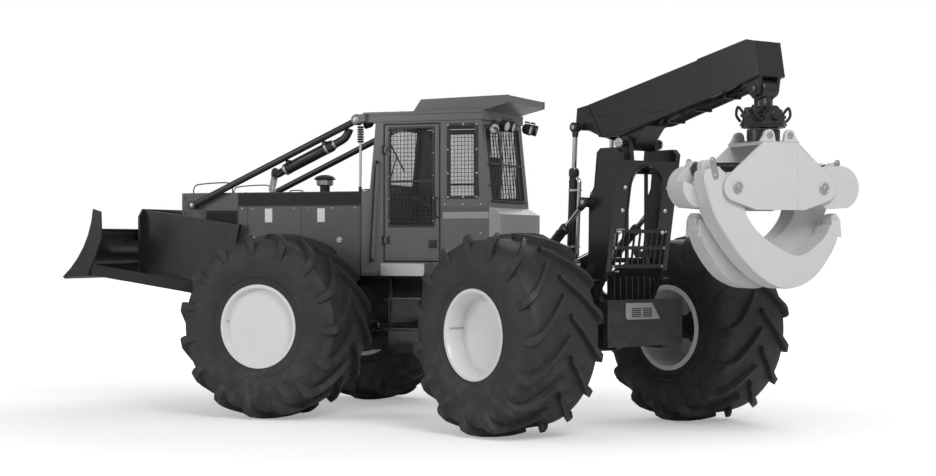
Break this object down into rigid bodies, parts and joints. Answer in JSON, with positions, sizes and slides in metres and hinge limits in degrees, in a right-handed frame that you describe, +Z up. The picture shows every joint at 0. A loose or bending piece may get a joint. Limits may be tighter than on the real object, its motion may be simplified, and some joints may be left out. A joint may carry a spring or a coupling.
{
  "type": "grapple skidder",
  "caption": "Articulated four-wheel log skidder with a front blade, an enclosed cab, and an arch and boom that hang a rotating grapple behind.",
  "frame": {"origin": "middle of the machine's footprint as parked with its rear half steered, on the ground", "axes": "+X is the front half's direction of travel, +Y its left side, +Z up"},
  "size_m": [8.7456, 4.737, 3.662],
  "materials": {
    "chassis_paint": "satin dark paint",
    "body_paint": "satin grey paint",
    "cab_paint": "satin grey paint",
    "black_paint": "satin black paint",
    "pale_paint": "satin pale grey paint",
    "rim_paint": "semi-gloss near-white paint",
    "tyre": "matte",
    "iron": "rough casting",
    "chrome": "polished",
    "step_metal": "brushed",
    "glass": "clear",
    "seat": "matte"
  },
  "bodies": {
    "front_chassis": {"front_frame": "chassis_paint", "front_axle": "chassis_paint", "engine_block": "iron", "hood": "black_paint", "engine_panel_left": "body_paint", "engine_panel_right": "body_paint", "radiator_housing": "body_paint", "limb_riser_left": "black_paint", "limb_riser_right": "black_paint", "exhaust": "black_paint", "precleaner": "black_paint", "cab_body": "cab_paint", "windshield": "glass", "rear_window": "glass", "rear_cowl": "pale_paint", "cab_roof": "cab_paint", "operator_seat": "seat", "steering_column": "seat", "step_left": "step_metal", "step_right": "step_metal"},
    "rear_chassis": {"rear_frame": "chassis_paint", "rear_axle": "chassis_paint", "winch": "black_paint"},
    "arch": {"arch": "black_paint", "winch_guard": "black_paint"},
    "boom": {"boom": "black_paint"},
    "crosshead": {"crosshead": "black_paint"},
    "rotator": {"rotator": "black_paint"},
    "grapple_frame": {"grapple_frame": "pale_paint"},
    "tong_left": {"tong_left": "pale_paint"},
    "tong_right": {"tong_right": "pale_paint"},
    "blade": {"blade": "black_paint"},
    "door_left": {"door_left": "cab_paint"},
    "door_right": {"door_right": "cab_paint"},
    "wheel_fl": {"tyre_fl": "tyre", "rim_fl": "rim_paint"},
    "wheel_fr": {"tyre_fr": "tyre", "rim_fr": "rim_paint"},
    "wheel_rl": {"tyre_rl": "tyre", "rim_rl": "rim_paint"},
    "wheel_rr": {"tyre_rr": "tyre", "rim_rr": "rim_paint"},
    "blade_cylinder_left_barrel": {"blade_cylinder_left_barrel": "black_paint"},
    "blade_cylinder_left_rod": {"blade_cylinder_left_rod": "chrome"},
    "blade_cylinder_right_barrel": {"blade_cylinder_right_barrel": "black_paint"},
    "blade_cylinder_right_rod": {"blade_cylinder_right_rod": "chrome"},
    "steering_cylinder_left_barrel": {"steering_cylinder_left_barrel": "black_paint"},
    "steering_cylinder_left_rod": {"steering_cylinder_left_rod": "chrome"},
    "steering_cylinder_right_barrel": {"steering_cylinder_right_barrel": "black_paint"},
    "steering_cylinder_right_rod": {"steering_cylinder_right_rod": "chrome"},
    "arch_cylinder_left_barrel": {"arch_cylinder_left_barrel": "black_paint"},
    "arch_cylinder_left_rod": {"arch_cylinder_left_rod": "chrome"},
    "arch_cylinder_right_barrel": {"arch_cylinder_right_barrel": "black_paint"},
    "arch_cylinder_right_rod": {"arch_cylinder_right_rod": "chrome"},
    "boom_cylinder_left_barrel": {"boom_cylinder_left_barrel": "black_paint"},
    "boom_cylinder_left_rod": {"boom_cylinder_left_rod": "chrome"},
    "boom_cylinder_right_barrel": {"boom_cylinder_right_barrel": "black_paint"},
    "boom_cylinder_right_rod": {"boom_cylinder_right_rod": "chrome"},
    "tong_cylinder_barrel": {"tong_cylinder_barrel": "black_paint"},
    "tong_cylinder_rod": {"tong_cylinder_rod": "chrome"}
  },
  "joints": [
    {"name": "steer", "type": "hinge", "parent": "front_chassis", "child": "rear_chassis", "pos_m": [0.1728, -0.641, 0.94], "axis": [0, 0, 1], "range_deg": [-15.8, 74.2]},
    {"name": "wheel_fl_spin", "type": "hinge", "parent": "front_chassis", "child": "wheel_fl", "pos_m": [1.8028, 0.6365, 0.965], "axis": [0, 1, 0], "continuous": true},
    {"name": "wheel_fr_spin", "type": "hinge", "parent": "front_chassis", "child": "wheel_fr", "pos_m": [1.8028, -1.9185, 0.965], "axis": [0, 1, 0], "continuous": true},
    {"name": "wheel_rl_spin", "type": "hinge", "parent": "rear_chassis", "child": "wheel_rl", "pos_m": [-1.1244, 1.5474, 0.965], "axis": [0.4879, 0.8729, 0], "continuous": true},
    {"name": "wheel_rr_spin", "type": "hinge", "parent": "rear_chassis", "child": "wheel_rr", "pos_m": [-2.3709, -0.6829, 0.965], "axis": [0.4879, 0.8729, 0], "continuous": true},
    {"name": "door_left_hinge", "type": "hinge", "parent": "front_chassis", "child": "door_left", "pos_m": [0.8698, -0.023, 1.625], "axis": [0, 0, -1], "range_deg": [0, 85]},
    {"name": "door_right_hinge", "type": "hinge", "parent": "front_chassis", "child": "door_right", "pos_m": [0.8698, -1.259, 1.625], "axis": [0, 0, 1], "range_deg": [0, 85]},
    {"name": "blade_lift", "type": "hinge", "parent": "front_chassis", "child": "blade", "pos_m": [2.2728, -0.641, 1.12], "axis": [0, 1, 0], "range_deg": [0, 38]},
    {"name": "blade_cylinder_left_base", "type": "hinge", "parent": "front_chassis", "child": "blade_cylinder_left_barrel", "pos_m": [2.6228, -0.121, 0.98], "axis": [0, 1, 0], "range_deg": [0, 50.06]},
    {"name": "blade_cylinder_left_stroke", "type": "slide", "parent": "blade_cylinder_left_barrel", "child": "blade_cylinder_left_rod", "axis": [0.8891, 0, 0.4577], "range_m": [-0.1019, 0]},
    {"name": "blade_cylinder_right_base", "type": "hinge", "parent": "front_chassis", "child": "blade_cylinder_right_barrel", "pos_m": [2.6228, -1.161, 0.98], "axis": [0, 1, 0], "range_deg": [0, 50.06]},
    {"name": "blade_cylinder_right_stroke", "type": "slide", "parent": "blade_cylinder_right_barrel", "child": "blade_cylinder_right_rod", "axis": [0.8891, 0, 0.4577], "range_m": [-0.1019, 0]},
    {"name": "steering_cylinder_left_base", "type": "hinge", "parent": "front_chassis", "child": "steering_cylinder_left_barrel", "pos_m": [0.9728, -0.141, 0.94], "axis": [0, 0, 1], "range_deg": [-3.6, 16.15]},
    {"name": "steering_cylinder_left_stroke", "type": "slide", "parent": "steering_cylinder_left_barrel", "child": "steering_cylinder_left_rod", "axis": [-0.9971, -0.0756, 0], "range_m": [-0.0945, 0.4401]},
    {"name": "steering_cylinder_right_base", "type": "hinge", "parent": "front_chassis", "child": "steering_cylinder_right_barrel", "pos_m": [0.9728, -1.141, 0.94], "axis": [0, 0, 1], "range_deg": [-2.55, 11.26]},
    {"name": "steering_cylinder_right_stroke", "type": "slide", "parent": "steering_cylinder_right_barrel", "child": "steering_cylinder_right_rod", "axis": [-0.9628, 0.2703, 0], "range_m": [-0.498, 0.1068]},
    {"name": "arch_lift", "type": "hinge", "parent": "rear_chassis", "child": "arch", "pos_m": [-1.9222, 0.5299, 1.34], "axis": [-0.4879, -0.8729, 0], "range_deg": [0, 38]},
    {"name": "boom_lift", "type": "hinge", "parent": "arch", "child": "boom", "pos_m": [-2.1753, 0.6713, 2.79], "axis": [0.4879, 0.8729, 0], "range_deg": [-38, 6]},
    {"name": "arch_cylinder_left_base", "type": "hinge", "parent": "rear_chassis", "child": "arch_cylinder_left_barrel", "pos_m": [-0.9024, 0.5098, 1.4], "axis": [-0.4879, -0.8729, 0], "range_deg": [0, 18.86]},
    {"name": "arch_cylinder_left_stroke", "type": "slide", "parent": "arch_cylinder_left_barrel", "child": "arch_cylinder_left_rod", "axis": [-0.6578, 0.3676, 0.6574], "range_m": [0, 0.3477]},
    {"name": "arch_cylinder_right_base", "type": "hinge", "parent": "rear_chassis", "child": "arch_cylinder_right_barrel", "pos_m": [-1.3707, -0.3282, 1.4], "axis": [-0.4879, -0.8729, 0], "range_deg": [0, 18.86]},
    {"name": "arch_cylinder_right_stroke", "type": "slide", "parent": "arch_cylinder_right_barrel", "child": "arch_cylinder_right_rod", "axis": [-0.6578, 0.3676, 0.6574], "range_m": [0, 0.3477]},
    {"name": "boom_cylinder_left_base", "type": "hinge", "parent": "arch", "child": "boom_cylinder_left_barrel", "pos_m": [-1.4336, 0.5432, 1.5], "axis": [0.4879, 0.8729, 0], "range_deg": [-7.31, 1.32]},
    {"name": "boom_cylinder_left_stroke", "type": "slide", "parent": "boom_cylinder_left_barrel", "child": "boom_cylinder_left_rod", "axis": [-0.0415, 0.0232, 0.9989], "range_m": [-0.0612, 0.3824]},
    {"name": "boom_cylinder_right_base", "type": "hinge", "parent": "arch", "child": "boom_cylinder_right_barrel", "pos_m": [-1.6775, 0.1067, 1.5], "axis": [0.4879, 0.8729, 0], "range_deg": [-7.31, 1.32]},
    {"name": "boom_cylinder_right_stroke", "type": "slide", "parent": "boom_cylinder_right_barrel", "child": "boom_cylinder_right_rod", "axis": [-0.0415, 0.0232, 0.9989], "range_m": [-0.0612, 0.3824]},
    {"name": "grapple_swing", "type": "hinge", "parent": "boom", "child": "crosshead", "pos_m": [-3.5807, 1.4568, 3.21], "axis": [-0.4879, -0.8729, 0], "range_deg": [-80, 20]},
    {"name": "grapple_sway", "type": "hinge", "parent": "crosshead", "child": "rotator", "pos_m": [-3.5807, 1.4568, 2.98], "axis": [0.8729, -0.4879, 0], "range_deg": [-25, 25]},
    {"name": "grapple_turn", "type": "hinge", "parent": "rotator", "child": "grapple_frame", "pos_m": [-3.5807, 1.4568, 2.86], "axis": [0, 0, 1], "continuous": true},
    {"name": "tong_left_open", "type": "hinge", "parent": "grapple_frame", "child": "tong_left", "pos_m": [-3.261, 1.7634, 2.318], "axis": [0.6921, -0.7218, 0], "range_deg": [0, 62]},
    {"name": "tong_right_open", "type": "hinge", "parent": "grapple_frame", "child": "tong_right", "pos_m": [-3.9005, 1.1502, 2.318], "axis": [-0.6921, 0.7218, 0], "range_deg": [0, 62]},
    {"name": "tong_cylinder_base", "type": "hinge", "parent": "tong_left", "child": "tong_cylinder_barrel", "pos_m": [-3.1044, 1.9136, 2.5], "axis": [0.6921, -0.7218, 0], "range_deg": [-62.2, 0]},
    {"name": "tong_cylinder_stroke", "type": "slide", "parent": "tong_cylinder_barrel", "child": "tong_cylinder_rod", "axis": [-0.7218, -0.6921, 0], "range_m": [-0.5527, 0]}
  ],
  "couplings": [
    {"joint": "blade_cylinder_left_base", "follows": "blade_lift", "ratio": 1.312},
    {"joint": "blade_cylinder_left_stroke", "follows": "blade_lift", "m_per_rad": -0.1521},
    {"joint": "blade_cylinder_right_base", "follows": "blade_lift", "ratio": 1.312},
    {"joint": "blade_cylinder_right_stroke", "follows": "blade_lift", "m_per_rad": -0.1521},
    {"joint": "steering_cylinder_left_base", "follows": "steer", "ratio": 0.215},
    {"joint": "steering_cylinder_left_stroke", "follows": "steer", "m_per_rad": 0.3391},
    {"joint": "steering_cylinder_right_base", "follows": "steer", "ratio": 0.149},
    {"joint": "steering_cylinder_right_stroke", "follows": "steer", "m_per_rad": -0.3838},
    {"joint": "arch_cylinder_left_base", "follows": "arch_lift", "ratio": 0.491},
    {"joint": "arch_cylinder_left_stroke", "follows": "arch_lift", "m_per_rad": 0.5228},
    {"joint": "arch_cylinder_right_base", "follows": "arch_lift", "ratio": 0.491},
    {"joint": "arch_cylinder_right_stroke", "follows": "arch_lift", "m_per_rad": 0.5228},
    {"joint": "boom_cylinder_left_base", "follows": "boom_lift", "ratio": 0.187},
    {"joint": "boom_cylinder_left_stroke", "follows": "boom_lift", "m_per_rad": -0.5751},
    {"joint": "boom_cylinder_right_base", "follows": "boom_lift", "ratio": 0.187},
    {"joint": "boom_cylinder_right_stroke", "follows": "boom_lift", "m_per_rad": -0.5751},
    {"joint": "tong_right_open", "follows": "tong_left_open", "ratio": 1},
    {"joint": "tong_cylinder_base", "follows": "tong_left_open", "ratio": -1},
    {"joint": "tong_cylinder_stroke", "follows": "tong_left_open", "m_per_rad": -0.5098}
  ]
}
